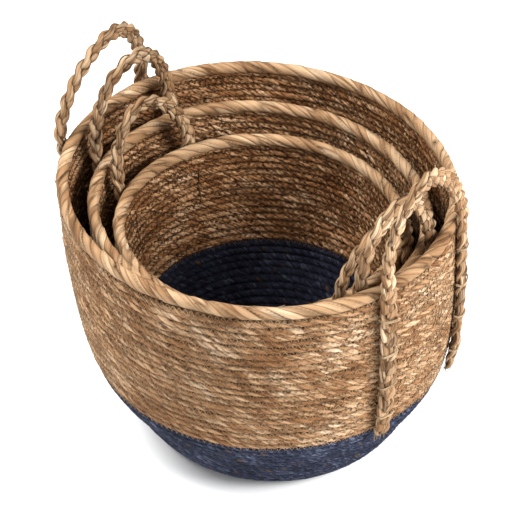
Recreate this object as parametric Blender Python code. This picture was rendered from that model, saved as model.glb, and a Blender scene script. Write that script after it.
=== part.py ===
"""Three coiled rush baskets nested in one another, each with two braided handles.

Every basket is a navy bowl, a natural wall and a thick rim rope. Each handle is one flat braid: its two
legs are tied flat against the wall, and the arch between them stands above the rim and can be folded.

Metres, +Z up. The origin is the centre of the large basket's underside, and the large handles are at +X and -X.
"""

import math

import bmesh
import bpy
from mathutils import Vector

GAP = 0.0003
SEGMENTS = 36

# The large basket, outside.
LARGE_HEIGHT = 0.307
RIM_ROPE = 0.012
WALL = 0.009
FLOOR = 0.010

# The soft walls sag, so the rims sit a little to one side of the bases, on one leaning centre line.
LEAN = Vector((-0.0150, -0.0116, 0.0)) / LARGE_HEIGHT

# The wall's outer outline from the underside to the rim: (share of the height, share of the rim's radius).
OUTLINE = ((0.0, 0.571), (0.045, 0.665), (0.16, 0.766), (0.34, 0.909), (0.62, 0.979), (1.0, 1.0))

# The rims are out of round, and longest in this direction.
OVAL_DIRECTION = math.radians(-26.5)

BRAID_THICKNESS = 0.010
BRAID_CLEARANCE = 0.0006
BRAID_CORNER_CUT = 0.28 * BRAID_THICKNESS
FOOT_STEPS = 3
FOOT_STEP_ANGLE = math.radians(26)
ARCH_STEPS = 12
LEG_STEPS = 6
TIE_HEIGHT = 0.0026
TIE_THICKNESS = 0.0012
TIE_CLEARANCE = 0.0004

RUSH = (0.46, 0.29, 0.15)
NAVY = (0.055, 0.070, 0.125)
BRAID = (0.52, 0.35, 0.20)
RAFFIA = (0.60, 0.43, 0.27)
ROUGHNESS = 0.8
SHARP_ANGLE = math.radians(40)

# Each basket's two arches have a height above the hinge, a squareness (2 is an ellipse), a lean outwards,
# and a skew towards the back leg. Both of the last two grow with the height along the arch.
BASKETS = (
    {
        "name": "large",
        "floor": 0.0,
        "height": LARGE_HEIGHT,
        "radius": 0.2100,
        "oval": 0.041,
        "navy": 0.105,
        "turn": 0.0,
        "half_span": 18.5,
        "right": {"height": 0.112, "square": 1.8, "lean": 0.015, "skew": -0.04},
        "left": {"height": 0.084, "square": 1.8, "lean": -0.011, "skew": -0.005},
        "braid": 0.018,
        "leg": 0.200,
        "ties": 4,
    },
    {
        "name": "medium",
        "floor": FLOOR + GAP,
        "height": 0.265,
        "radius": 0.1815,
        "oval": 0.048,
        "navy": 0.098,
        "turn": -5.5,
        "half_span": 17.5,
        "right": {"height": 0.098, "square": 1.9, "lean": 0.009, "skew": -0.015},
        "left": {"height": 0.1, "square": 2.0, "lean": -0.015, "skew": 0.014},
        "braid": 0.017,
        "leg": 0.130,
        "ties": 2,
    },
    {
        "name": "small",
        "floor": 2 * (FLOOR + GAP),
        "height": 0.233,
        "radius": 0.1530,
        "oval": 0.010,
        "navy": 0.096,
        "turn": -3.6,
        "half_span": 20.0,
        "right": {"height": 0.077, "square": 1.9, "lean": 0.018, "skew": -0.012},
        "left": {"height": 0.077, "square": 1.8, "lean": 0.0, "skew": 0.018},
        "braid": 0.016,
        "leg": 0.110,
        "ties": 2,
    },
)


def along_outline(share):
    """The outline's radius share at a height share, on a smooth curve through its points."""
    last = len(OUTLINE) - 1

    def slope(index):
        low = OUTLINE[max(index - 1, 0)]
        high = OUTLINE[min(index + 1, last)]
        return (high[1] - low[1]) / (high[0] - low[0])

    index = 0
    while index < last - 1 and share > OUTLINE[index + 1][0]:
        index += 1
    start, end = OUTLINE[index], OUTLINE[index + 1]
    width = end[0] - start[0]
    t = (share - start[0]) / width
    return (
        (2 * t**3 - 3 * t**2 + 1) * start[1]
        + (t**3 - 2 * t**2 + t) * width * slope(index)
        + (3 * t**2 - 2 * t**3) * end[1]
        + (t**3 - t**2) * width * slope(index + 1)
    )


def outline_point(basket, height, depth=0.0):
    """(radius, height) of the outline, both in the basket's own measure, moved inwards by depth."""
    rise = 0.0005
    share = height / basket["height"]
    radius = basket["radius"] * along_outline(share)
    spread = basket["radius"] * along_outline(share + rise / basket["height"]) - radius
    length = math.hypot(spread, rise)
    return radius - depth * rise / length, height + depth * spread / length


def shell_point(basket, angle, radius, height):
    """The world point at an angle, with the rim's oval growing from nothing at the floor."""
    oval = basket["oval"] * height / basket["height"] * math.cos(2 * (angle - OVAL_DIRECTION))
    reach = radius * (1 + oval)
    z = basket["floor"] + height
    return Vector((reach * math.cos(angle), reach * math.sin(angle), z)) + LEAN * z


def shell_ring(basket, radius, height):
    turns = (2 * math.pi * step / SEGMENTS for step in range(SEGMENTS))
    return [shell_point(basket, angle, radius, height) for angle in turns]


def skin(rings, joined):
    """A mesh through a row of equal rings. The last ring joins the first, or both ends are capped."""
    mesh = bmesh.new()
    rows = [[mesh.verts.new(point) for point in ring] for ring in rings]
    count = len(rows[0])
    pairs = list(zip(rows, rows[1:]))
    if joined:
        pairs.append((rows[-1], rows[0]))
    else:
        mesh.faces.new(rows[0])
        mesh.faces.new(rows[-1])
    for low, high in pairs:
        for i in range(count):
            j = (i + 1) % count
            mesh.faces.new((low[i], low[j], high[j], high[i]))
    bmesh.ops.recalc_face_normals(mesh, faces=mesh.faces)
    return mesh


def add_empty(name, place, parent=None):
    """An empty that carries a body. Its world place is kept on it for its children."""
    empty = bpy.data.objects.new(name, None)
    empty["place"] = tuple(place)
    empty.parent = parent
    empty.location = Vector(place) - (Vector(parent["place"]) if parent else Vector())
    bpy.context.collection.objects.link(empty)
    return empty


def add_part(name, shape, parent, colour):
    """A named piece from a bmesh in world space, with its origin at its parent empty."""
    bmesh.ops.translate(shape, verts=shape.verts, vec=-Vector(parent["place"]))
    mesh = bpy.data.meshes.new(name)
    shape.to_mesh(mesh)
    shape.free()
    mesh.shade_smooth()
    mesh.set_sharp_from_angle(angle=SHARP_ANGLE)
    material = bpy.data.materials.new(name)
    material.use_nodes = True
    principled = material.node_tree.nodes["Principled BSDF"]
    principled.inputs["Base Color"].default_value = (*colour, 1.0)
    principled.inputs["Roughness"].default_value = ROUGHNESS
    principled.inputs["Metallic"].default_value = 0.0
    mesh.materials.append(material)
    piece = bpy.data.objects.new(name, mesh)
    piece.parent = parent
    bpy.context.collection.objects.link(piece)


def add_bowl(basket, body):
    """The navy floor and the navy foot of the wall, one coil in the real basket."""
    steps = (0.0, 0.06, 0.18, 0.40, 0.68, 1.0)
    heights = [share * basket["navy"] for share in steps]
    outside = [outline_point(basket, height) for height in heights]
    inside = [outline_point(basket, height, FLOOR) for height in heights]
    inside[0] = (outside[0][0], FLOOR)
    profile = outside + inside[::-1]
    rings = [shell_ring(basket, radius, height) for radius, height in profile]
    add_part(basket["name"] + "_navy_base", skin(rings, joined=False), body, NAVY)


def add_wall(basket, body):
    low = basket["navy"] + GAP
    high = basket["height"] - RIM_ROPE - GAP
    heights = [low + (high - low) * step / 4 for step in range(5)]
    outside = [outline_point(basket, height) for height in heights]
    inside = [outline_point(basket, height, WALL) for height in heights]
    inside[-1] = (outside[-1][0] - WALL, high)
    profile = outside + inside[::-1]
    rings = [shell_ring(basket, radius, height) for radius, height in profile]
    add_part(basket["name"] + "_rush_wall", skin(rings, joined=True), body, RUSH)


def add_rim(basket, body):
    half = RIM_ROPE / 2
    rings = []
    for step in range(8):
        turn = 2 * math.pi * step / 8
        radius = basket["radius"] - half + half * math.cos(turn)
        height = basket["height"] - half + half * math.sin(turn)
        rings.append(shell_ring(basket, radius, height))
    add_part(basket["name"] + "_rim_rope", skin(rings, joined=True), body, RUSH)


def braid_ring(centre, across, out, width, thickness):
    """The braid's section, a flat rectangle with cut corners."""
    cut = BRAID_CORNER_CUT * thickness / BRAID_THICKNESS
    half, deep = width / 2, thickness / 2
    corners = (
        (half, cut - deep),
        (half, deep - cut),
        (half - cut, deep),
        (cut - half, deep),
        (-half, deep - cut),
        (-half, cut - deep),
        (cut - half, -deep),
        (half - cut, -deep),
    )
    return [centre + across * a + out * b for a, b in corners]


def leg_frame(basket, angle, height):
    """The braid's centre, and its directions across and outwards, where it lies on the wall or rim."""
    radius = basket["radius"] * along_outline(min(height / basket["height"], 1.0))
    surface = shell_point(basket, angle, radius, min(height, basket["height"]))
    surface.z = basket["floor"] + height
    out = Vector((math.cos(angle), math.sin(angle), 0.0))
    across = Vector((-out.y, out.x, 0.0))
    return surface + out * (BRAID_CLEARANCE + BRAID_THICKNESS / 2), across, out


def add_leg(name, basket, angle, body):
    """The stretch of braid that is tied to the wall, from the rim's top down."""
    top = basket["height"] + GAP
    rings = []
    for step in range(LEG_STEPS + 1):
        height = top - basket["leg"] * step / LEG_STEPS
        centre, across, out = leg_frame(basket, angle, height)
        rings.append(braid_ring(centre, across, out, basket["braid"], BRAID_THICKNESS))
    add_part(name, skin(rings, joined=False), body, BRAID)
    for number in range(basket["ties"]):
        share = (number + 0.5) / basket["ties"]
        height = basket["height"] - RIM_ROPE - (basket["leg"] - 2 * RIM_ROPE) * share
        add_tie(f"{name}_tie_{number + 1}", basket, angle, height, body)


def add_tie(name, basket, angle, height, body):
    """A raffia band round the leg's front and sides. Its ends meet the wall that it is sewn into."""
    inner = basket["braid"] / 2 + TIE_CLEARANCE
    outer = inner + TIE_THICKNESS
    front = BRAID_THICKNESS / 2 + TIE_CLEARANCE
    face = front + TIE_THICKNESS
    back = -BRAID_THICKNESS / 2
    corners = (
        (outer, back),
        (outer, face),
        (-outer, face),
        (-outer, back),
        (-inner, back),
        (-inner, front),
        (inner, front),
        (inner, back),
    )
    rings = []
    for offset in (-TIE_HEIGHT / 2, TIE_HEIGHT / 2):
        centre, across, out = leg_frame(basket, angle, height + offset)
        rings.append([centre + across * a + out * b for a, b in corners])
    add_part(name, skin(rings, joined=False), body, RAFFIA)


def add_handle(basket, side, body):
    """One braid: two tied legs, and the arch on a hinge line through its feet, just above the rim."""
    name = f"{basket['name']}_{side}_handle"
    facing = math.radians(basket["turn"] + (0 if side == "right" else 180))
    half_span = math.radians(basket["half_span"])
    arch = basket[side]
    hinge_height = basket["height"] + BRAID_THICKNESS / 2 + 2 * GAP
    feet = [leg_frame(basket, facing + turn, hinge_height)[0] for turn in (-half_span, half_span)]
    middle = (feet[0] + feet[1]) / 2
    half_chord = (feet[1] - feet[0]) / 2
    across = half_chord.normalized()
    out = across.cross(Vector((0, 0, 1)))
    hinge = add_empty(name + "_hinge", middle, body)

    def arch_point(turn):
        along = -math.copysign(abs(math.cos(turn)) ** (2 / arch["square"]), math.cos(turn))
        rise = math.sin(turn) ** (2 / arch["square"])
        upright = middle + half_chord * along + Vector((0, 0, arch["height"] * rise))
        return upright + out * arch["lean"] * rise**1.5 + across * arch["skew"] * rise

    def foot_rings(foot, wide):
        """The foot is round about the hinge line, so that it turns on the leg's top with an even gap."""
        rings = []
        for step in range(FOOT_STEPS + 1):
            turn = FOOT_STEP_ANGLE * step
            drop = Vector((0, 0, -BRAID_THICKNESS / 2 * math.sin(turn)))
            thickness = BRAID_THICKNESS * math.cos(turn)
            rings.append(braid_ring(foot + drop, wide, out, basket["braid"], thickness))
        return rings

    rings = foot_rings(feet[0], across)[::-1]
    for step in range(1, ARCH_STEPS):
        turn = math.pi * step / ARCH_STEPS
        heading = (arch_point(turn + 0.01) - arch_point(turn - 0.01)).normalized()
        wide = heading.cross(out).normalized()
        rings.append(braid_ring(arch_point(turn), wide, out, basket["braid"], BRAID_THICKNESS))
    rings += foot_rings(feet[1], -across)
    add_part(name + "_arch", skin(rings, joined=False), hinge, BRAID)
    add_leg(name + "_leg_front", basket, facing - half_span, body)
    add_leg(name + "_leg_back", basket, facing + half_span, body)


def main():
    for leftover in list(bpy.data.objects):
        bpy.data.objects.remove(leftover)
    parent = None
    for basket in BASKETS:
        z = basket["floor"]
        body = add_empty(basket["name"] + "_basket", LEAN * z + Vector((0, 0, z)), parent)
        add_bowl(basket, body)
        add_wall(basket, body)
        add_rim(basket, body)
        for side in ("right", "left"):
            add_handle(basket, side, body)
        parent = body


main()
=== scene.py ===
"""The looks of three nested rush baskets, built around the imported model.

Each basket is one spiral of twisted rope, from the middle of its floor up to its rim, with sewn zigzags
along every turn and a thick rim rope. Each handle is one flat braid of three strands, tied to the wall.
Sizes are in metres, and angles in degrees where they are written down.
"""

import math

import bpy
import numpy as np
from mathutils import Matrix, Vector


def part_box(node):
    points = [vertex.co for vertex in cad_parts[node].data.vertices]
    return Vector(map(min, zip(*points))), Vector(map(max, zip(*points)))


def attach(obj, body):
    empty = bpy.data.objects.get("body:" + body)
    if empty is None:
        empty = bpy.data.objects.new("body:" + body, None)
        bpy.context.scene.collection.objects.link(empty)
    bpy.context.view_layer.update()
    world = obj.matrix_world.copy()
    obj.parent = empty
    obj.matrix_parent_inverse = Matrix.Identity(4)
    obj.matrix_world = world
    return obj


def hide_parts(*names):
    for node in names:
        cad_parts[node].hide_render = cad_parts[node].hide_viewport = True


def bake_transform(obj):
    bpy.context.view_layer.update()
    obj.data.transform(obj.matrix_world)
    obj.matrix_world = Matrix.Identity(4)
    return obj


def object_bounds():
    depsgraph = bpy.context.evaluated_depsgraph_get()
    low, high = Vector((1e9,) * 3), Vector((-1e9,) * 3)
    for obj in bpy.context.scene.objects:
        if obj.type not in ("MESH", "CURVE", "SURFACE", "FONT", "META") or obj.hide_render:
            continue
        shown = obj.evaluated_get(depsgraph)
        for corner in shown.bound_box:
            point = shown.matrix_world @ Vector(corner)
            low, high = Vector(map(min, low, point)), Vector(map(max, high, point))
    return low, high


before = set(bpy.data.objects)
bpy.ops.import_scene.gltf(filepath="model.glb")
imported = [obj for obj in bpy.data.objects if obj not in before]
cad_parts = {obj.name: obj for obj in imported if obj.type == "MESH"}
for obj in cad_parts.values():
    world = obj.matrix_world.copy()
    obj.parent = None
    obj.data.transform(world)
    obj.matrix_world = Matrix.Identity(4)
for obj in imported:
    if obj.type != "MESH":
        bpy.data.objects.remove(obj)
cad_box = [list(corner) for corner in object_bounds()]

TURN = 2 * math.pi
SEED = 7

# The wall's outer outline: (share of the height, share of the rim's radius), and the direction of the ovals.
OUTLINE = np.array(((0.0, 0.571), (0.045, 0.665), (0.16, 0.766), (0.34, 0.909), (0.62, 0.979), (1.0, 1.0)))
OVAL_DIRECTION = math.radians(-26.5)

# The wall's middle line: how finely it is drawn up the wall and across the floor, how many of its first
# points up the wall make way for the corner, and the distance over which its slope is read.
WALL_STEPS = 400
FLOOR_STEPS = 60
CORNER_STEPS = 3
SLOPE_REACH = 0.003

# The rope: its row height, half its thickness, how high its middle lies in the floor, how much taller a row
# is than its pitch, the turn where the coil starts, and how finely its line and its mesh are drawn.
PITCH = 0.0084
HALF_THICK = 0.0044
FLOOR_LINE = 0.0052
ROW_OVERLAP = 1.24
START_TURN = 0.35
STEPS_PER_TURN = 400
ROPE_STEP = 0.0024
ROPE_POINTS = 12
MOST_RINGS = 7500

# The last turn of the coil: how much of the full thickness it loses, and the least share of its depth.
LAST_TAPER = 0.97
LEAST_DEPTH = 0.35

# The coil's unevenness: metres between changes, then the share of the look's own sway or unevenness.
OUT_SWAY = (0.035, 1.0)
UP_SWAY = (0.05, 0.6)
FULLNESS = (0.028, 1.6)

# The rim rope: its diameter, how much taller than wide it is, its mesh, its rise and fall (metres between
# changes, size), and its loose strip ends, which start a little inside its surface.
RIM_ROPE = 0.012
RIM_TALL = 1.08
RIM_STEP = 0.0018
RIM_POINTS = 22
RIM_SWAY = (0.07, 0.0004)
RIM_LOOSE_STRIPS = 16
LOOSE_STRIP_SHARE = 0.93

# The sewing: a zigzag over every join between two rows, with four points to a stitch. It sinks where it
# crosses the join, and is raised where it turns back. Both are shares of the rope's half thickness.
STITCH_LENGTH = 0.0062
STITCH_REACH = 0.0032
STITCH_SWING = np.array([0.0, 1.0, 0.0, -1.0])
STITCH_SUNK = 0.80
STITCH_RAISED = 0.97
STITCH_SLIP = 0.0004
STITCH_LIFT = 0.0002
THREAD = 0.00052

# The braid, as the model has it: its thickness, its distance from the wall, and the gap at the hinge.
BRAID_THICKNESS = 0.010
BRAID_CLEARANCE = 0.0006
HINGE_GAP = 0.0003

# The weave of the braid. The strands' half sizes and their swings are shares of its width or its thickness,
# and a ripple is (metres between changes, size).
BRAID_PERIOD = 0.056
STRAND_HALF = 0.330
STRAND_SWING = 0.185
STRAND_DEEP = 0.290
STRAND_OVER = 0.200
STRAND_SWELL = 0.10
SWELL_LAG = math.radians(100)
TURN_RIPPLE = (0.05, 0.12)
SWING_RIPPLE = (0.03, 0.08)
# How far past another strand's outline the painted shade in the seam reaches, as a share of that strand's
# size.
SEAM_SHADE_WIDTH = 0.42

# How finely the braid is drawn, how many points its direction is smoothed over, how late an arch leans, and
# the metres of grain that set its strands apart.
LEG_POINTS = 80
ARCH_POINTS = 120
BRAID_STEP = 0.0012
SMOOTH_POINTS = 29
LEAN_POWER = 1.5
GRAIN_APART = 7

# The tails under the braid's feet: how long the strands taper, by how much, and the loose leaf ends.
TAIL_LENGTH = 0.012
TAIL_TAPER = 0.8
TAILS = 9
TAIL_START = 0.006
TAIL_WIDTH = 0.0007

# Loose strips: the points along and round one, half its thickness, how much narrower its tip is, and how
# deep its root lies.
STRIP_RINGS = 8
STRIP_POINTS = 6
STRIP_HALF_THICK = 0.00022
STRIP_TAPER = 0.85
STRIP_ROOT = 0.0004

# The ties: the two cords of a band, how far round the leg it goes in half turns, how square it is and how
# much room it leaves, then the runs inside the wall, which wander by (shares of the run, radians).
BAND_CORD = 0.00075
BAND_APART = 0.0007
BAND_POINTS = 26
BAND_WRAP = 0.62
BAND_SQUARE_WIDE = 0.7
BAND_SQUARE_DEEP = 0.6
BAND_ROOM_WIDE = 0.0007
BAND_ROOM_DEEP = 0.0006
BAND_END_WIDTH = 0.0006
RUN_CORD = 0.0009
RUN_POINTS = 60
RUN_WANDER = (0.2, 0.012)
RUN_DIP = 0.0006
RUN_GAP = 0.0002
CORD_POINTS = 6

# The handles, as the model has them.
HANDLES = {
    "large": {
        "turn": 0.0,
        "half_span": 18.5,
        "right": {"height": 0.112, "square": 1.8, "lean": 0.015, "skew": -0.040},
        "left": {"height": 0.084, "square": 1.8, "lean": -0.011, "skew": -0.005},
        "braid": 0.018,
        "leg": 0.200,
        "ties": 4,
    },
    "medium": {
        "turn": -5.5,
        "half_span": 17.5,
        "right": {"height": 0.098, "square": 1.9, "lean": 0.009, "skew": -0.015},
        "left": {"height": 0.100, "square": 2.0, "lean": -0.015, "skew": 0.014},
        "braid": 0.017,
        "leg": 0.130,
        "ties": 2,
    },
    "small": {
        "turn": -3.6,
        "half_span": 20.0,
        "right": {"height": 0.077, "square": 1.9, "lean": 0.018, "skew": -0.012},
        "left": {"height": 0.077, "square": 1.8, "lean": 0.0, "skew": 0.018},
        "braid": 0.016,
        "leg": 0.110,
        "ties": 2,
    },
}


# ---------------------------------------------------------------- small tools


def unit(vectors):
    return vectors / np.maximum(np.linalg.norm(vectors, axis=-1, keepdims=True), 1e-12)


def signed_power(values, power):
    """Values raised to a power, with their signs kept."""
    return np.sign(values) * np.abs(values) ** power


def distance_along(line):
    """How far each point of a line is from its start, along the line."""
    return np.concatenate([[0], np.cumsum(np.linalg.norm(np.diff(line, axis=0), axis=1))])


def resample(rows, places, new_places):
    """Rows of values that stand at places along a line, read at new places."""
    return np.stack([np.interp(new_places, places, column) for column in rows.T], -1)


def smooth(rows):
    """Rows of values, each averaged with its neighbours."""
    weights = np.hanning(SMOOTH_POINTS + 2)[1:-1]
    weights = weights / weights.sum()
    ends = SMOOTH_POINTS // 2
    padded = np.pad(rows, ((ends, ends), (0, 0)), mode="edge")
    return np.stack([np.convolve(column, weights, mode="valid") for column in padded.T], -1)


def ripple(places, spacing, size, rng, closed=False):
    """Smooth random values along a line, with a new one at each spacing. A closed line ends as it starts."""
    count = int(places.max() / spacing) + 3
    step = places / spacing
    if closed:
        count = max(int(round(places.max() / spacing)), 2)
        step = places / places.max() * count
    table = rng.uniform(-size, size, count + 2)
    if closed:
        table[count:] = table[:2]
    index = step.astype(int)
    share = step - index
    share = share * share * (3 - 2 * share)
    return table[index] * (1 - share) + table[index + 1] * share


def outline(share):
    """The outline's radius share at each height share, on a smooth curve through its points."""
    heights, radii = OUTLINE.T
    low = np.maximum(np.arange(len(radii)) - 1, 0)
    high = np.minimum(np.arange(len(radii)) + 1, len(radii) - 1)
    slopes = (radii[high] - radii[low]) / (heights[high] - heights[low])
    index = np.clip(np.searchsorted(heights, share, side="right") - 1, 0, len(heights) - 2)
    width = heights[index + 1] - heights[index]
    t = (share - heights[index]) / width
    return (
        (2 * t**3 - 3 * t**2 + 1) * radii[index]
        + (t**3 - 2 * t**2 + t) * width * slopes[index]
        + (3 * t**2 - 2 * t**3) * radii[index + 1]
        + (t**3 - t**2) * width * slopes[index + 1]
    )


# ---------------------------------------------------------------- baskets


def read_basket(name):
    """A basket's sizes, taken from the boxes of its rim and base."""
    low, high = (np.array(corner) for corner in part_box(name + "_rim_rope"))
    base_low, base_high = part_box(name + "_navy_base")
    half = (high - low)[:2] / 2
    basket = {
        "name": name,
        "floor": base_low.z,
        "height": high[2] - base_low.z,
        "navy": base_high.z - base_low.z,
        "radius": half.mean(),
        "oval": (half[0] - half[1]) / half.sum() / math.cos(2 * OVAL_DIRECTION),
        "lean": (low + high)[:2] / (low + high)[2],
    }
    add_profile(basket)
    return basket


def add_profile(basket):
    """The line that the middle of the wall follows, from the middle of the floor to just under the rim."""
    heights = np.linspace(0.0, basket["height"] - RIM_ROPE, WALL_STEPS)
    share = heights / basket["height"]
    radii = basket["radius"] * outline(share)
    slope = np.gradient(radii, heights)
    length = np.hypot(1, slope)
    radii = radii - HALF_THICK / length
    heights = heights + HALF_THICK * slope / length
    flat = np.linspace(0.0, radii[0] - PITCH / 2, FLOOR_STEPS)
    radii = np.concatenate([flat, radii[CORNER_STEPS:]])
    wall_heights = np.maximum(heights[CORNER_STEPS:], FLOOR_LINE)
    heights = np.concatenate([np.full(FLOOR_STEPS, FLOOR_LINE), wall_heights])
    heights = np.minimum(heights, basket["height"] - RIM_ROPE)
    steps = np.hypot(np.diff(radii), np.diff(heights))
    moves = np.concatenate([[True], steps > 1e-7])
    radii, heights = radii[moves], heights[moves]
    steps = np.hypot(np.diff(radii), np.diff(heights))
    basket["profile"] = np.concatenate([[0.0], np.cumsum(steps)]), radii, heights
    basket["length"] = steps.sum()
    basket["turns"] = round(basket["length"] / PITCH)
    basket["pitch"] = basket["length"] / basket["turns"]
    basket["navy_turn"] = round(wall_place(basket, basket["navy"]) / basket["pitch"])


def wall_place(basket, height):
    """How far along the profile the wall reaches a height."""
    table, _, heights = basket["profile"]
    return np.interp(height, heights[FLOOR_STEPS:], table[FLOOR_STEPS:])


def on_shell(basket, angle, radius, height):
    """The point at an angle, radius and height of an upright round basket, once it is oval and leans."""
    oval = basket["oval"] * height / basket["height"] * np.cos(2 * (angle - OVAL_DIRECTION))
    reach = radius * (1 + oval)
    z = basket["floor"] + height
    x = reach * np.cos(angle) + basket["lean"][0] * z
    y = reach * np.sin(angle) + basket["lean"][1] * z
    return np.stack([x, y, z], -1)


def wall_frame(basket, angle, place):
    """The point on the wall's middle line at an angle, and its directions outwards and up the wall."""
    table, radii, heights = basket["profile"]
    radius = np.interp(place, table, radii)
    height = np.interp(place, table, heights)
    ahead = np.clip(place + SLOPE_REACH, 0, basket["length"])
    behind = np.clip(place - SLOPE_REACH, 0, basket["length"])
    rise = np.interp(ahead, table, heights) - np.interp(behind, table, heights)
    spread = np.interp(ahead, table, radii) - np.interp(behind, table, radii)
    scale = np.maximum(np.hypot(rise, spread), 1e-9)
    rise, spread = rise / scale, spread / scale
    zero = np.zeros_like(angle)
    radial = np.stack([np.cos(angle), np.sin(angle), zero], -1)
    vertical = np.stack([zero, zero, zero + 1], -1)
    out = radial * rise[:, None] - vertical * spread[:, None]
    up = radial * spread[:, None] + vertical * rise[:, None]
    return on_shell(basket, angle, radius, height), out, up


# ---------------------------------------------------------------- meshes


class Surface:
    """Tubes gathered into one mesh, with the attributes that the materials read.

    grain is (cos, sin, metres) of the way that the fibres run, crease is the painted shade for how deep a
    point lies between strips, rows or strands, and inner is 1 on the side that faces into the basket.
    """

    def __init__(self):
        self.points = []
        self.grain = []
        self.crease_shade = []
        self.inner = []
        self.quads = []
        self.caps = []
        self.count = 0

    def add_tube(self, rings, phase, along, crease_shade=None, inner=None, closed=False):
        rows, columns = rings.shape[:2]
        phase = np.broadcast_to(phase, (rows, columns))
        length = np.broadcast_to(np.asarray(along)[:, None], (rows, columns))
        self.points.append(rings.reshape(-1, 3))
        self.grain.append(np.stack([np.cos(phase), np.sin(phase), length], -1).reshape(-1, 3))
        self.crease_shade.append(np.zeros(rows * columns) if crease_shade is None else crease_shade.ravel())
        self.inner.append(np.zeros(rows * columns) if inner is None else inner.ravel())
        index = np.arange(rows * columns).reshape(rows, columns) + self.count
        following = np.roll(index, -1, axis=1)
        quads = np.stack([index[:-1], index[1:], following[1:], following[:-1]], -1)
        self.quads.append(quads.reshape(-1, 4))
        if not closed:
            self.caps += [index[0], index[-1][::-1]]
        self.count += rows * columns

    def make(self, name, material, slot):
        """The finished object, with its faces turned outwards."""
        loops = [np.concatenate(self.quads).ravel()] + self.caps
        sizes = [np.full(sum(len(quads) for quads in self.quads), 4)] + [[len(cap)] for cap in self.caps]
        loops, sizes = np.concatenate(loops), np.concatenate(sizes)
        mesh = bpy.data.meshes.new(name)
        mesh.vertices.add(self.count)
        mesh.vertices.foreach_set("co", np.concatenate(self.points).astype(np.float32).ravel())
        mesh.loops.add(len(loops))
        mesh.loops.foreach_set("vertex_index", loops.astype(np.int32))
        mesh.polygons.add(len(sizes))
        starts = np.concatenate([[0], np.cumsum(sizes)[:-1]])
        mesh.polygons.foreach_set("loop_start", starts.astype(np.int32))
        mesh.update(calc_edges=True)
        mesh.validate()
        grain = mesh.attributes.new("grain", "FLOAT_VECTOR", "POINT")
        grain.data.foreach_set("vector", np.concatenate(self.grain).astype(np.float32).ravel())
        for key, values in (("crease_shade", self.crease_shade), ("inner", self.inner)):
            attribute = mesh.attributes.new(key, "FLOAT", "POINT")
            attribute.data.foreach_set("value", np.concatenate(values).astype(np.float32))
        mesh.shade_smooth()
        mesh.materials.append(material)
        piece = bpy.data.objects.new(name, mesh)
        bpy.context.scene.collection.objects.link(piece)
        return piece


# A rope's section is a little square, and its strips overlap. A strip is thickest at its leading edge, by at
# least the least share of the look's edge. The middle share keeps the rope's own size, and up the rope the
# strips count for less than out of it.
SECTION_POWER = 0.88
STRIP_POWER = 0.8
STRIP_LEAST = 0.35
STRIP_MIDDLE = 0.5
STRIP_UP = 0.6

# Painted shade on a strip: (share of its width, darkness) at its leading edge and at the edge behind, and
# how much more painted shade the edge behind gets where the strip lifts.
LEADING_SHADE = (0.22, 0.3)
TRAILING_SHADE = (0.28, 0.35)
LIFTED_SHADE = 0.6

# The random changes along a rope: the lays or metres between them, then their size if the look has none.
TWIST_LAYS = 1.6
STRIP_BEND = (0.7, 0.35)
STRIP_LIFT = (0.55, 0.5)
SIZE_SPACING = 0.035
# The breaks in the painted shade of the grooves between rows, and how much of it goes missing.
GROOVE_SHADE_BREAKS = (0.012, 0.28)

# How narrow the painted shade in the grooves between rows is, and how soon round the rope its inner side is
# all inner.
GROOVE_SHADE_POWER = 4
INNER_REACH = 1.6


def strip_parts(phase, along, look, rng, closed):
    """How far across its strip each point lies, from 0 to 1, and how far that strip lifts there."""
    spacing, size = STRIP_BEND
    bend = ripple(along, look["lay"] * spacing, size, rng, closed)[:, None]
    order = look["strips"] * phase / TURN + bend * np.sin(phase)
    strip = np.floor(order)
    part = order - strip
    strip = (strip % look["strips"]).astype(int)
    spacing, size = STRIP_LIFT
    lifts = [ripple(along, look["lay"] * spacing, size, rng, closed) + size for _ in range(look["strips"])]
    return part, np.take_along_axis(np.array(lifts).T, strip, axis=1)


def strip_shade(part, lift):
    """The painted shade at the edges of the strips."""
    share, dark = LEADING_SHADE
    leading = np.clip(1 - part / share, 0, 1) * dark
    share, dark = TRAILING_SHADE
    return leading + np.clip((part - 1 + share) / share, 0, 1) * (dark + lift * LIFTED_SHADE)


def rope_rings(centre, out, up, half_out, half_up, along, look, rng, closed=False):
    """Rings of a rope of overlapping twisted strips, with their phase, the painted shade in their creases,
    and their inner side.
    """
    angle = TURN * np.arange(look["points"]) / look["points"]
    cos, sin = np.cos(angle), np.sin(angle)
    lay = along.max() / round(along.max() / look["lay"]) if closed else look["lay"]
    twist = TURN * along / lay + ripple(along, look["lay"] * TWIST_LAYS, look["wander"], rng, closed)
    phase = angle + twist[:, None]
    part, lift = strip_parts(phase, along, look, rng, closed)
    bump = look["edge"] * ((STRIP_LEAST + lift) * (1 - part) ** STRIP_POWER - STRIP_MIDDLE)
    size = 1 + ripple(along, SIZE_SPACING, look["uneven"], rng, closed)[:, None]
    off_out = half_out[:, None] * signed_power(cos, SECTION_POWER) * size + bump * cos
    off_up = half_up[:, None] * signed_power(sin, SECTION_POWER) * (size + 1) / 2 + bump * sin * STRIP_UP
    rings = centre[:, None] + out[:, None] * off_out[..., None] + up[:, None] * off_up[..., None]
    # Painted shade: the strips' edges are darkened, and so are the grooves between rows, with random breaks.
    spacing, missing = GROOVE_SHADE_BREAKS
    broken = 1 - missing + ripple(along, spacing, missing, rng, closed)[:, None]
    groove = np.abs(sin)[None, :] ** GROOVE_SHADE_POWER * look["groove"] * broken
    crease_shade = np.clip(strip_shade(part, lift) + groove, 0, 1)
    inner = np.broadcast_to(np.clip(-cos * INNER_REACH, 0, 1), crease_shade.shape)
    return rings, phase, crease_shade, inner


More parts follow.
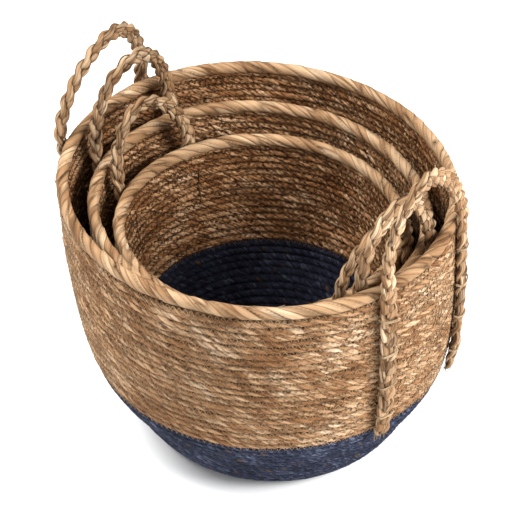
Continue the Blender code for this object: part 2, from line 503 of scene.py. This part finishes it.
def thread_rings(centre, out, radius, points=3):
    """Rings of a thin plain tube along a line."""
    heading = unit(np.gradient(centre, axis=0))
    side = unit(np.cross(heading, out))
    out = unit(np.cross(side, heading))
    angle = TURN * np.arange(points) / points
    radius = np.broadcast_to(radius, len(centre))[:, None, None]
    ring = out[:, None] * np.cos(angle)[:, None] + side[:, None] * np.sin(angle)[:, None]
    return centre[:, None] + ring * radius, angle


# ---------------------------------------------------------------- materials

# A leaf's tone: the share of its cell's own tone, then patches over the whole basket, which only darken.
CELL_TONE = 0.50
PATCHES_PER_METRE = 22.0
PATCH_TONES = (-0.42, -0.10)
NOISE_MIDDLE = (0.3, 0.7)
FLECK_CELLS = (0.975, 0.985)

# A leaf's edge: how wide its painted shade and its slope reach in cells, and how dark that painted shade is.
BORDER = 0.10
BORDER_SHADE = 0.60
SLOPE = 0.16
FIBRE_HEIGHT = 1.1

# The stitched look inside the wall: beads round the rope and per metre, then where one ends, the painted
# shade in its hollow, and the hollow's depth.
BEADS = (1.5, 1 / 0.0046)
BEAD_END = (0.42, 0.80)
HOLLOW_SHADE = 0.45
HOLLOW_DEPTH = 1.6

BUMP_STRENGTH = 0.90
BUMP_DEPTH = 0.0008
SHINE = 0.05
ROUGHNESS_SPREAD = (-0.08, 0.10)


def add_node(tree, kind, inputs=None, **settings):
    """A shader node. Each input is given as a value, or as the socket that feeds it."""
    node = tree.nodes.new(kind)
    for key, value in settings.items():
        setattr(node, key, value)
    for key, value in (inputs or {}).items():
        if isinstance(value, bpy.types.NodeSocket):
            tree.links.new(value, node.inputs[key])
        else:
            node.inputs[key].default_value = value
    return node


def calculate(tree, operation, first, second, clamp=False):
    node = add_node(tree, "ShaderNodeMath", {0: first, 1: second}, operation=operation)
    node.use_clamp = clamp
    return node.outputs[0]


def add_share(tree, value, extra, share, clamp=False):
    """The value plus a share of extra."""
    return calculate(tree, "ADD", value, calculate(tree, "MULTIPLY", extra, share), clamp)


def read_attribute(tree, name, output):
    return add_node(tree, "ShaderNodeAttribute", attribute_name=name).outputs[output]


def blend_colours(tree, factor, under, over, blend_type="MIX"):
    inputs = {"Factor": factor, "A": under, "B": (*over, 1.0)}
    return add_node(tree, "ShaderNodeMix", inputs, data_type="RGBA", blend_type=blend_type).outputs["Result"]


def stretch(tree, vector, around, along):
    """The grain scaled so that one unit is one cell, with this many round the rope and along a metre."""
    scale = (around, around, along)
    return add_node(tree, "ShaderNodeVectorMath", {0: vector, 1: scale}, operation="MULTIPLY").outputs[0]


def ramp(tree, factor, stops):
    """A colour ramp with evenly spread stops."""
    node = add_node(tree, "ShaderNodeValToRGB", {"Fac": factor})
    elements = node.color_ramp.elements
    while len(elements) < len(stops):
        elements.new(0.5)
    for number, colour in enumerate(stops):
        elements[number].position = number / (len(stops) - 1)
        elements[number].color = (*colour, 1.0)
    return node.outputs["Color"]


def spread(tree, value, low, high, new_low=0.0, new_high=1.0):
    inputs = {"Value": value, "From Min": low, "From Max": high, "To Min": new_low, "To Max": new_high}
    return add_node(tree, "ShaderNodeMapRange", inputs).outputs["Result"]


def fibre_material(name, tones, leaf, fibre, dark, roughness, inside=None, flecks=None, beads=False):
    """Dry leaf strips: each leaf cell has its own tone, fine fibres along it, and painted shade at its
    edges.

    tones run from the darkest to the palest. leaf and fibre are (cells round the rope, cells per metre).
    dark is the colour of the painted shade down in the creases, and inside tints the side that faces into
    the basket
    as painted light: lighter and warmer on the husk, darker on the navy.
    """
    material = bpy.data.materials.new(name)
    material.use_nodes = True
    tree = material.node_tree
    shader = tree.nodes["Principled BSDF"]
    grain = read_attribute(tree, "grain", "Vector")
    crease_shade = read_attribute(tree, "crease_shade", "Fac")
    inner = read_attribute(tree, "inner", "Fac")
    place = add_node(tree, "ShaderNodeTexCoord").outputs["Object"]

    cell = {"Vector": stretch(tree, grain, *leaf), "Scale": 1.0}
    cells = add_node(tree, "ShaderNodeTexVoronoi", cell)
    cell_tone = add_node(tree, "ShaderNodeSeparateColor", {"Color": cells.outputs["Color"]})
    edges = add_node(tree, "ShaderNodeTexVoronoi", cell, feature="DISTANCE_TO_EDGE").outputs["Distance"]
    strand = {"Vector": stretch(tree, grain, *fibre), "Scale": 1.0, "Detail": 3.0, "Roughness": 0.65}
    threads = add_node(tree, "ShaderNodeTexNoise", strand).outputs["Fac"]
    patch = {"Vector": place, "Scale": PATCHES_PER_METRE, "Detail": 2.0}
    patches = add_node(tree, "ShaderNodeTexNoise", patch).outputs["Fac"]

    tone = add_share(tree, threads, cell_tone.outputs["Red"], CELL_TONE)
    patch_tone = spread(tree, patches, *NOISE_MIDDLE, *PATCH_TONES)
    colour = ramp(tree, calculate(tree, "ADD", tone, patch_tone, clamp=True), tones)
    if flecks is not None:
        is_fleck = spread(tree, cell_tone.outputs["Green"], *FLECK_CELLS)
        colour = blend_colours(tree, is_fleck, colour, flecks)
    # Painted light on the inner side: lighter and warmer on the husk, darker on the navy.
    if inside is not None:
        colour = blend_colours(tree, inner, colour, inside, "MULTIPLY")

    # Painted shade at the leaves' edges and in the creases, mixed towards the shade colour.
    border_shade = spread(tree, edges, 0.0, BORDER, BORDER_SHADE, 0.0)
    shade = calculate(tree, "ADD", border_shade, crease_shade, clamp=True)
    height = add_share(tree, spread(tree, edges, 0.0, SLOPE), threads, FIBRE_HEIGHT)
    if beads:
        bead = {"Vector": stretch(tree, grain, *BEADS), "Scale": 1.0}
        distance = add_node(tree, "ShaderNodeTexVoronoi", bead).outputs["Distance"]
        # Painted shade in the hollows between the beads.
        hollow = calculate(tree, "MULTIPLY", spread(tree, distance, *BEAD_END), inner)
        shade = add_share(tree, shade, hollow, HOLLOW_SHADE, clamp=True)
        height = add_share(tree, height, hollow, -HOLLOW_DEPTH)
    colour = blend_colours(tree, shade, colour, dark)
    relief = {"Height": height, "Strength": BUMP_STRENGTH, "Distance": BUMP_DEPTH}
    normal = add_node(tree, "ShaderNodeBump", relief).outputs["Normal"]
    rough = spread(tree, threads, *NOISE_MIDDLE, *(roughness + change for change in ROUGHNESS_SPREAD))

    tree.links.new(colour, shader.inputs["Base Color"])
    tree.links.new(normal, shader.inputs["Normal"])
    tree.links.new(rough, shader.inputs["Roughness"])
    shader.inputs["Specular IOR Level"].default_value = SHINE
    return material


# The husk's inner side gets painted light, lighter and warmer.
HUSK = fibre_material(
    "rush_rope",
    ((0.10, 0.038, 0.013), (0.25, 0.121, 0.050), (0.45, 0.277, 0.149), (0.65, 0.50, 0.35)),
    leaf=(1.1, 1 / 0.032),
    fibre=(8.0, 1 / 0.011),
    dark=(0.040, 0.014, 0.005),
    roughness=0.62,
    inside=(1.12, 1.02, 0.94),
    beads=True,
)
RIM_HUSK = fibre_material(
    "rim_rush",
    ((0.15, 0.068, 0.028), (0.28, 0.158, 0.078), (0.41, 0.264, 0.148), (0.58, 0.44, 0.30)),
    leaf=(0.62, 1 / 0.055),
    fibre=(8.0, 1 / 0.030),
    dark=(0.05, 0.024, 0.010),
    roughness=0.58,
)
BRAID_HUSK = fibre_material(
    "rush_braid",
    ((0.12, 0.052, 0.020), (0.26, 0.148, 0.074), (0.43, 0.290, 0.170), (0.67, 0.53, 0.38)),
    leaf=(0.9, 1 / 0.035),
    fibre=(7.0, 1 / 0.022),
    dark=(0.05, 0.024, 0.010),
    roughness=0.60,
)
# The navy's inner side gets painted shade, darker.
NAVY = fibre_material(
    "navy_rope",
    ((0.008, 0.010, 0.018), (0.018, 0.022, 0.040), (0.042, 0.050, 0.085), (0.15, 0.17, 0.24)),
    leaf=(1.4, 1 / 0.0075),
    fibre=(5.0, 1 / 0.006),
    dark=(0.004, 0.004, 0.008),
    roughness=0.78,
    inside=(0.55, 0.50, 0.47),
    flecks=(0.10, 0.062, 0.040),
)
THREAD_HUSK = fibre_material(
    "sewing_thread",
    ((0.30, 0.17, 0.085), (0.44, 0.28, 0.155), (0.58, 0.40, 0.24), (0.74, 0.55, 0.36)),
    leaf=(0.8, 1 / 0.05),
    fibre=(3.0, 1 / 0.01),
    dark=(0.08, 0.04, 0.02),
    roughness=0.7,
)
RAFFIA = fibre_material(
    "raffia",
    ((0.28, 0.17, 0.085), (0.42, 0.28, 0.155), (0.56, 0.40, 0.245), (0.74, 0.58, 0.40)),
    leaf=(0.8, 1 / 0.03),
    fibre=(5.0, 1 / 0.012),
    dark=(0.09, 0.045, 0.02),
    roughness=0.6,
)
DARK_THREAD = fibre_material(
    "inside_thread",
    ((0.06, 0.026, 0.010), (0.11, 0.055, 0.024), (0.17, 0.095, 0.046), (0.27, 0.17, 0.09)),
    leaf=(0.8, 1 / 0.03),
    fibre=(5.0, 1 / 0.012),
    dark=(0.02, 0.01, 0.005),
    roughness=0.7,
)

# How each rope is laid: the strips round it, the length of one twist, how far the twist wanders in radians,
# the height of a strip's edge, how uneven and how far off its line the rope is, and how much painted shade
# its grooves between rows get.
WALL_LOOK = {
    "points": ROPE_POINTS,
    "strips": 4,
    "lay": 0.056,
    "wander": 1.6,
    "edge": 0.0012,
    "uneven": 0.090,
    "sway": 0.00065,
    "groove": 1.0,
}
NAVY_LOOK = {
    "points": ROPE_POINTS,
    "strips": 5,
    "lay": 0.036,
    "wander": 0.5,
    "edge": 0.0005,
    "uneven": 0.03,
    "sway": 0.00025,
    "groove": 0.9,
}
RIM_LOOK = {
    "points": RIM_POINTS,
    "strips": 3,
    "lay": 0.066,
    "wander": 1.6,
    "edge": 0.0014,
    "uneven": 0.06,
    "groove": 0.0,
}
STRAND_LOOK = {
    "points": 20,
    "strips": 1,
    "lay": 0.24,
    "wander": 0.9,
    "edge": 0.0003,
    "uneven": 0.06,
    "groove": 0.0,
}


# ---------------------------------------------------------------- the coiled rope


def coil_line(basket, start, end):
    """The rope's line between two turn numbers: (turn, place up the wall, share of full thickness, metres).

    The last turn tapers away to nothing, so that the rim lies level on it.
    """
    turn = np.linspace(start, end, int((end - start) * STEPS_PER_TURN))
    last = basket["turns"] - 1
    fade = np.clip(turn - last, 0, 1)
    place = basket["pitch"] * (np.minimum(turn, last) + 0.5 + fade / 2)
    place = np.minimum(place, basket["length"])
    radius = np.interp(place, basket["profile"][0], basket["profile"][1])
    steps = np.hypot(TURN * radius[1:] * np.diff(turn), np.diff(place))
    metres = np.concatenate([[0], np.cumsum(steps)])
    even = np.linspace(0, metres[-1], int(metres[-1] / ROPE_STEP))
    turn = np.interp(even, metres, turn)
    place = np.interp(even, metres, place)
    thickness = 1 - np.clip(turn - last, 0, 1) * LAST_TAPER
    return turn, place, thickness, even


def add_coil(basket, part, start, end, material, look, slot, rng):
    """A stretch of the spiral rope, in as many pieces as its size needs. The first replaces the CAD node."""
    name = basket["name"]
    turn, place, thickness, metres = coil_line(basket, start, end)
    centre, out, up = wall_frame(basket, TURN * turn, place)
    for direction, (spacing, share) in ((out, OUT_SWAY), (up, UP_SWAY)):
        centre = centre + direction * ripple(metres, spacing, look["sway"] * share, rng)[:, None]
    spacing, share = FULLNESS
    fullness = 1 + ripple(metres, spacing, look["uneven"] * share, rng)
    half_up = basket["pitch"] / 2 * ROW_OVERLAP * thickness * fullness
    half_out = HALF_THICK * (LEAST_DEPTH + (1 - LEAST_DEPTH) * thickness)
    rings, phase, crease_shade, inner = rope_rings(centre, out, up, half_out, half_up, metres, look, rng)
    pieces = math.ceil(len(rings) / MOST_RINGS)
    cuts = np.linspace(0, len(rings) - 1, pieces + 1).astype(int)
    for number in range(pieces):
        span = slice(cuts[number], cuts[number + 1] + 1)
        surface = Surface()
        surface.add_tube(rings[span], phase[span], metres[span], crease_shade[span], inner[span])
        piece = surface.make(f"{name}_{part}_coil_{number + 1}", material, slot)
        if number == 0:
            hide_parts(f"{name}_{'navy_base' if part == 'base' else 'rush_wall'}")
        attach(piece, name + "_basket")


def add_rim(basket, rng):
    """The thick rim rope, wrapped in wide leaf strips, with a few ends that stand off it."""
    angle = np.linspace(0, TURN, int(TURN * basket["radius"] / RIM_STEP))
    half = np.full(len(angle), RIM_ROPE / 2)
    radius = basket["radius"] - half
    height = np.full(len(angle), basket["height"] - RIM_ROPE / 2)
    centre = on_shell(basket, angle, radius, height)
    metres = distance_along(centre)
    zero = np.zeros_like(angle)
    out = np.stack([np.cos(angle), np.sin(angle), zero], -1)
    up = np.stack([zero, zero, zero + 1], -1)
    centre = centre + up * ripple(metres, *RIM_SWAY, rng, closed=True)[:, None]
    halves = half, half * RIM_TALL
    rings, phase, crease_shade, inner = rope_rings(centre, out, up, *halves, metres, RIM_LOOK, rng, closed=True)
    surface = Surface()
    surface.add_tube(rings, phase, metres, crease_shade, inner, closed=True)
    for _ in range(RIM_LOOSE_STRIPS):
        index = rng.integers(0, len(angle))
        tilt = rng.uniform(-0.9, 2.6)
        away = out[index] * math.cos(tilt) + up[index] * math.sin(tilt)
        heading = unit(np.cross(up[index], out[index])) * rng.choice((-1, 1))
        length, width = rng.uniform(0.008, 0.022), rng.uniform(0.0006, 0.0016)
        start = centre[index] + away * half[index] * LOOSE_STRIP_SHARE
        add_loose_strip(surface, start, heading, away, length, width, rng)
    piece = surface.make(basket["name"] + "_rim_twist", RIM_HUSK, "rim_rush")
    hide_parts(basket["name"] + "_rim_rope")
    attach(piece, basket["name"] + "_basket")


def add_loose_strip(surface, start, heading, away, length, width, rng):
    """A thin flat strip end that peels off the rope and drifts a little to one side."""
    share = np.linspace(0, 1, STRIP_RINGS)[:, None]
    lift = rng.uniform(0.0015, 0.004)
    drift = rng.uniform(-0.004, 0.004)
    side = np.cross(heading, away)
    line = start + heading * share * length + away * (share**2 * lift - STRIP_ROOT) + side * share * drift
    angle = TURN * np.arange(STRIP_POINTS) / STRIP_POINTS
    taper = (1 - share**2 * STRIP_TAPER)[:, None]
    across = unit(side) * width * np.cos(angle)[None, :, None] * taper
    deep = away * STRIP_HALF_THICK * np.sin(angle)[None, :, None]
    along = share[:, 0] * length + rng.uniform(0, 5)
    surface.add_tube(line[:, None] + across + deep, angle, along)


def add_stitches(basket, side, start, end, rng):
    """The zigzag sewing over every join between rows, on the outer or inner face of the wall."""
    outer = side == "outer"
    surface = Surface()
    turn, place, _, metres = coil_line(basket, start, end)
    count = int(metres[-1] / (STITCH_LENGTH / len(STITCH_SWING)))
    even = np.linspace(0, metres[-1], count)
    even = even + rng.uniform(-STITCH_SLIP, STITCH_SLIP, count)
    turn = np.interp(even, metres, turn)
    place = np.interp(even, metres, place) + basket["pitch"] / 2
    centre, out, up = wall_frame(basket, TURN * turn, np.minimum(place, basket["length"]))
    swing = STITCH_SWING[np.arange(count) % len(STITCH_SWING)]
    reach = STITCH_REACH * swing * rng.uniform(0.75, 1.15, count)
    depth = HALF_THICK * np.where(swing == 0, STITCH_SUNK, STITCH_RAISED)
    depth = depth + rng.uniform(-STITCH_LIFT, STITCH_LIFT, count)
    line = centre + up * reach[:, None] + out * (depth if outer else -depth)[:, None]
    rings, angle = thread_rings(line, out, THREAD)
    surface.add_tube(rings, angle, even)
    material = THREAD_HUSK if outer else DARK_THREAD
    piece = surface.make(f"{basket['name']}_{side}_stitching", material, "raffia_tie")
    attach(piece, basket["name"] + "_basket")


# ---------------------------------------------------------------- handles


def facing(handle, side):
    """The direction that a handle faces, in degrees."""
    return handle["turn"] + (0 if side == "right" else 180)


def leg_frame(basket, angle, height):
    """The middle of the braid where it lies on the wall or rim, and its direction outwards."""
    radius = basket["radius"] * outline(np.minimum(height / basket["height"], 1.0))
    surface = on_shell(basket, angle, radius, np.minimum(height, basket["height"]))
    surface[:, 2] = basket["floor"] + height
    out = np.array([math.cos(angle), math.sin(angle), 0.0])
    return surface + out * (BRAID_CLEARANCE + BRAID_THICKNESS / 2), np.tile(out, (len(height), 1))


def arch_line(middle, half_chord, out, bow):
    """The braid's line over the arch, from one foot to the other. It leans outwards and to one side."""
    turn = np.linspace(0, math.pi, ARCH_POINTS)[1:-1]
    along = -signed_power(np.cos(turn), 2 / bow["square"])
    rise = np.sin(turn) ** (2 / bow["square"])
    arch = middle + half_chord * along[:, None] + out * (bow["lean"] * rise**LEAN_POWER)[:, None]
    arch += unit(half_chord) * (bow["skew"] * rise)[:, None]
    arch[:, 2] += bow["height"] * rise
    return arch


def handle_line(basket, handle, side):
    """The braid's middle line and outward direction: up one leg, over the arch and down the other leg."""
    middle_angle = math.radians(facing(handle, side))
    half_span = math.radians(handle["half_span"])
    top = basket["height"] + BRAID_THICKNESS / 2 + 2 * HINGE_GAP
    heights = np.linspace(basket["height"] - handle["leg"], top, LEG_POINTS)
    front, front_out = leg_frame(basket, middle_angle - half_span, heights)
    back, back_out = leg_frame(basket, middle_angle + half_span, heights)
    middle = (front[-1] + back[-1]) / 2
    half_chord = (back[-1] - front[-1]) / 2
    out = unit(np.cross(half_chord, (0, 0, 1)))
    arch = arch_line(middle, half_chord, out, handle[side])
    line = np.concatenate([front, arch, back[::-1]])
    outs = np.concatenate([front_out, np.tile(out, (len(arch), 1)), back_out[::-1]])
    metres = distance_along(line)
    even = np.linspace(0, metres[-1], int(metres[-1] / BRAID_STEP))
    return resample(line, metres, even), unit(smooth(resample(outs, metres, even))), even, middle


def braid_strands(metres, width, rng):
    """How far each strand lies from the braid's middle line, and its half width and half depth."""
    from_end = np.minimum(metres, metres[-1] - metres)
    spare = np.clip(1 - from_end / TAIL_LENGTH, 0, 1)
    strands = []
    for number in range(3):
        turn = TURN * (metres / BRAID_PERIOD + number / 3) + ripple(metres, *TURN_RIPPLE, rng)
        swing = width * STRAND_SWING * (1 + ripple(metres, *SWING_RIPPLE, rng))
        taper = 1 - TAIL_TAPER * spare ** rng.uniform(1.0, 3.0)
        swell = 1 + STRAND_SWELL * np.cos(2 * turn - SWELL_LAG)
        strands.append({
            "wide": swing * np.sin(turn),
            "out": BRAID_THICKNESS * STRAND_OVER * np.sin(2 * turn),
            "half_wide": width * STRAND_HALF * swell * taper,
            "half_deep": BRAID_THICKNESS * STRAND_DEEP * swell * taper,
        })
    return strands


def seam_shade(across, raised, strand):
    """The painted shade at each point, from how deep it lies in the seam beside another strand of the braid.
    """
    reach = np.hypot(
        (across - strand["wide"][:, None]) / strand["half_wide"][:, None],
        (raised - strand["out"][:, None]) / strand["half_deep"][:, None],
    )
    return np.clip((1 + SEAM_SHADE_WIDTH - reach) / SEAM_SHADE_WIDTH, 0, 1)


def add_tails(surface, line, heading, wide, out, rng):
    """The loose leaf ends under both feet of a braid."""
    for end, direction in ((0, -1), (len(line) - 1, 1)):
        for _ in range(TAILS):
            root = wide[end] * rng.uniform(-0.005, 0.005) + out[end] * rng.uniform(-0.003, 0.003)
            down = unit(heading[end] * direction + wide[end] * rng.uniform(-0.5, 0.5))
            start = line[end] + root - down * TAIL_START
            length = rng.uniform(0.009, 0.016)
            add_loose_strip(surface, start, down, out[end], length, TAIL_WIDTH, rng)


def add_handle(basket, side, rng):
    """One flat braid of three leaf strands that bends above the rim, with its frayed tails and its ties."""
    handle = HANDLES[basket["name"]]
    name = f"{basket['name']}_{side}_handle"
    line, out, metres, middle = handle_line(basket, handle, side)
    heading = unit(np.gradient(line, axis=0))
    wide = unit(np.cross(heading, out))
    out = unit(np.cross(wide, heading))
    surface = Surface()
    strands = braid_strands(metres, handle["braid"], rng)
    for number, strand in enumerate(strands):
        centre = line + wide * strand["wide"][:, None] + out * strand["out"][:, None]
        strand_heading = unit(np.gradient(centre, axis=0))
        deep = unit(np.cross(strand_heading, wide))
        flat = unit(np.cross(deep, strand_heading))
        halves = strand["half_deep"], strand["half_wide"]
        rings, phase, crease_shade, _ = rope_rings(centre, deep, flat, *halves, metres, STRAND_LOOK, rng)
        offset = rings - line[:, None]
        across = (offset * wide[:, None]).sum(-1)
        raised = (offset * out[:, None]).sum(-1)
        # Painted shade in the seams where this strand meets the others.
        for other in strands[:number] + strands[number + 1:]:
            crease_shade = np.maximum(crease_shade, seam_shade(across, raised, other))
        surface.add_tube(rings, phase, metres + GRAIN_APART * number, crease_shade)
    add_tails(surface, line, heading, wide, out, rng)
    piece = surface.make(name + "_braid", BRAID_HUSK, "rush_braid")
    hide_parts(name + "_arch", name + "_leg_front", name + "_leg_back")
    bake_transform(piece)
    add_ties(basket, side, rng)


def add_ties(basket, side, rng):
    """The raffia bands round each leg, their cut ends, and their dark runs down the inside of the wall."""
    handle = HANDLES[basket["name"]]
    name = f"{basket['name']}_{side}_handle"
    bands, runs = Surface(), Surface()
    nodes = []
    for leg, turn in (("front", -1), ("back", 1)):
        angle = math.radians(facing(handle, side) + turn * handle["half_span"])
        heights = []
        for number in range(1, handle["ties"] + 1):
            node = f"{name}_leg_{leg}_tie_{number}"
            low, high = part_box(node)
            heights.append((low.z + high.z) / 2 - basket["floor"])
            nodes.append(node)
            add_band(bands, basket, handle, angle, heights[-1], rng)
        add_run(runs, basket, angle, heights[0], heights[-1], rng)
    piece = bands.make(name + "_ties", RAFFIA, "raffia_tie")
    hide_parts(*nodes)
    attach(piece, basket["name"] + "_basket")
    piece = runs.make(name + "_inside_thread", DARK_THREAD, "raffia_tie")
    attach(piece, basket["name"] + "_basket")


def add_band(surface, basket, handle, angle, height, rng):
    """A band over the leg's front, from the wall on one side to the wall on the other, with two cut ends."""
    middle, out = (value[0] for value in leg_frame(basket, angle, np.array([height])))
    across = np.array([-out[1], out[0], 0.0])
    up = np.array([0.0, 0.0, 1.0])
    slant = rng.uniform(-0.25, 0.25)
    turn = np.linspace(-BAND_WRAP, BAND_WRAP, BAND_POINTS) * math.pi
    wide = (handle["braid"] / 2 + BAND_ROOM_WIDE) * signed_power(np.sin(turn), BAND_SQUARE_WIDE)
    deep = (BRAID_THICKNESS / 2 + BAND_ROOM_DEEP) * signed_power(np.cos(turn), BAND_SQUARE_DEEP)
    line = middle + across * wide[:, None] + out * deep[:, None] + up * (wide * slant)[:, None]
    metres = np.linspace(0, 0.04, len(line))
    for strand in (-1, 1):
        offset = up * (BAND_APART * strand)
        rings, ring_angle = thread_rings(line + offset, unit(line - middle), BAND_CORD, CORD_POINTS)
        surface.add_tube(rings, ring_angle, metres + rng.uniform(0, 4))
    edge = middle + across * rng.choice((-1, 1)) * handle["braid"] / 2 + out * 0.002
    for _ in range(2):
        direction = out * rng.uniform(0.3, 1.0) + across * rng.uniform(-0.8, 0.8) + up * rng.uniform(-1, 0.6)
        length = rng.uniform(0.003, 0.006)
        add_loose_strip(surface, edge, unit(direction), unit(up + out), length, BAND_END_WIDTH, rng)


def add_run(surface, basket, angle, high, low, rng):
    """The thread that joins the ties, down the inside of the wall and over the rope's rows."""
    place = np.linspace(wall_place(basket, high), wall_place(basket, low), RUN_POINTS)
    angles = angle + ripple(np.linspace(0, 1, RUN_POINTS), *RUN_WANDER, rng)
    centre, out, _ = wall_frame(basket, angles, place)
    rows = np.cos(TURN * place / basket["pitch"]) * RUN_DIP
    line = centre - out * (HALF_THICK + RUN_GAP + rows)[:, None]
    rings, ring_angle = thread_rings(line, out, RUN_CORD, CORD_POINTS)
    surface.add_tube(rings, ring_angle, place)


# ---------------------------------------------------------------- studio


# The camera looks down at the front right of the set. The lens and the sensor's width are in millimetres.
AZIMUTH = math.radians(37.5)
ELEVATION = math.radians(40.0)
DISTANCE = 2.446
LENS = 160.2
SENSOR = 36
LOOK_HEIGHT = 0.120
RAISE_VIEW = 0.0645

# Each light: its name, how far it is to the right, to the front and up from the target, its size, its watts.
LIGHTS = (
    ("key", 1.85, 0.85, 1.25, 1.1, 102),
    ("front_fill", -0.5, 2.4, 1.9, 1.2, 6),
    ("top", -1.1, 0.1, 1.95, 1.1, 82),
)
SKY_STRENGTH = 0.58
FLOOR_SIZE = 30
FLOOR_TONE = 0.93
FLOOR_ROUGHNESS = 0.9
FLOOR_GAP = 0.0003


def add_floor():
    """A plain pale floor just under the baskets."""
    low, _ = (Vector(corner) for corner in cad_box)
    bpy.ops.mesh.primitive_plane_add(size=FLOOR_SIZE, location=(0, 0, low.z - FLOOR_GAP))
    floor = bpy.context.object
    floor.name = "studio_floor"
    paint = bpy.data.materials.new("studio_floor")
    paint.use_nodes = True
    shader = paint.node_tree.nodes["Principled BSDF"]
    shader.inputs["Base Color"].default_value = (FLOOR_TONE, FLOOR_TONE, FLOOR_TONE, 1)
    shader.inputs["Roughness"].default_value = FLOOR_ROUGHNESS
    floor.data.materials.append(paint)


def add_studio():
    """The floor, the camera, and soft lights from above, from the right and a little from the front."""
    add_floor()
    back = Vector((
        math.sin(AZIMUTH) * math.cos(ELEVATION),
        -math.cos(AZIMUTH) * math.cos(ELEVATION),
        math.sin(ELEVATION),
    ))
    right = Vector((math.cos(AZIMUTH), math.sin(AZIMUTH), 0))
    front = Vector((back.x, back.y, 0)).normalized()
    rim_low, rim_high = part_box("large_rim_rope")
    target = (rim_low + rim_high) / 2
    target.z = LOOK_HEIGHT

    camera = bpy.data.objects.new("camera", bpy.data.cameras.new("camera"))
    camera.location = target + back * DISTANCE
    aim = target + back.cross(right) * RAISE_VIEW
    camera.rotation_euler = (camera.location - aim).to_track_quat("Z", "Y").to_euler()
    camera.data.lens = LENS
    camera.data.sensor_width = SENSOR
    bpy.context.scene.collection.objects.link(camera)
    bpy.context.scene.camera = camera

    for name, to_right, to_front, up, size, power in LIGHTS:
        place = target + right * to_right + front * to_front + Vector((0, 0, up))
        add_light(name, place, target, size, power)
    world = bpy.data.worlds.new("studio")
    world.use_nodes = True
    background = world.node_tree.nodes["Background"]
    background.inputs["Color"].default_value = (1, 1, 1, 1)
    background.inputs["Strength"].default_value = SKY_STRENGTH
    bpy.context.scene.world = world
    bpy.context.scene.view_settings.view_transform = "Standard"


def add_light(name, place, target, size, power):
    """A square light at a place, turned to the target."""
    light = bpy.data.lights.new(name, "AREA")
    light.size = size
    light.energy = power
    lamp = bpy.data.objects.new(name, light)
    lamp.location = place
    lamp.rotation_euler = (place - target).to_track_quat("Z", "Y").to_euler()
    bpy.context.scene.collection.objects.link(lamp)


def main():
    add_studio()
    rng = np.random.default_rng(SEED)
    for name in ("large", "medium", "small"):
        basket = read_basket(name)
        navy = basket["navy_turn"]
        add_coil(basket, "base", START_TURN, navy, NAVY, NAVY_LOOK, "navy_rope", rng)
        add_coil(basket, "wall", navy, basket["turns"], HUSK, WALL_LOOK, "rush_rope", rng)
        add_rim(basket, rng)
        for side in ("outer", "inner"):
            add_stitches(basket, side, navy - 1, basket["turns"] - 1, rng)
        for side in ("right", "left"):
            add_handle(basket, side, rng)


main()
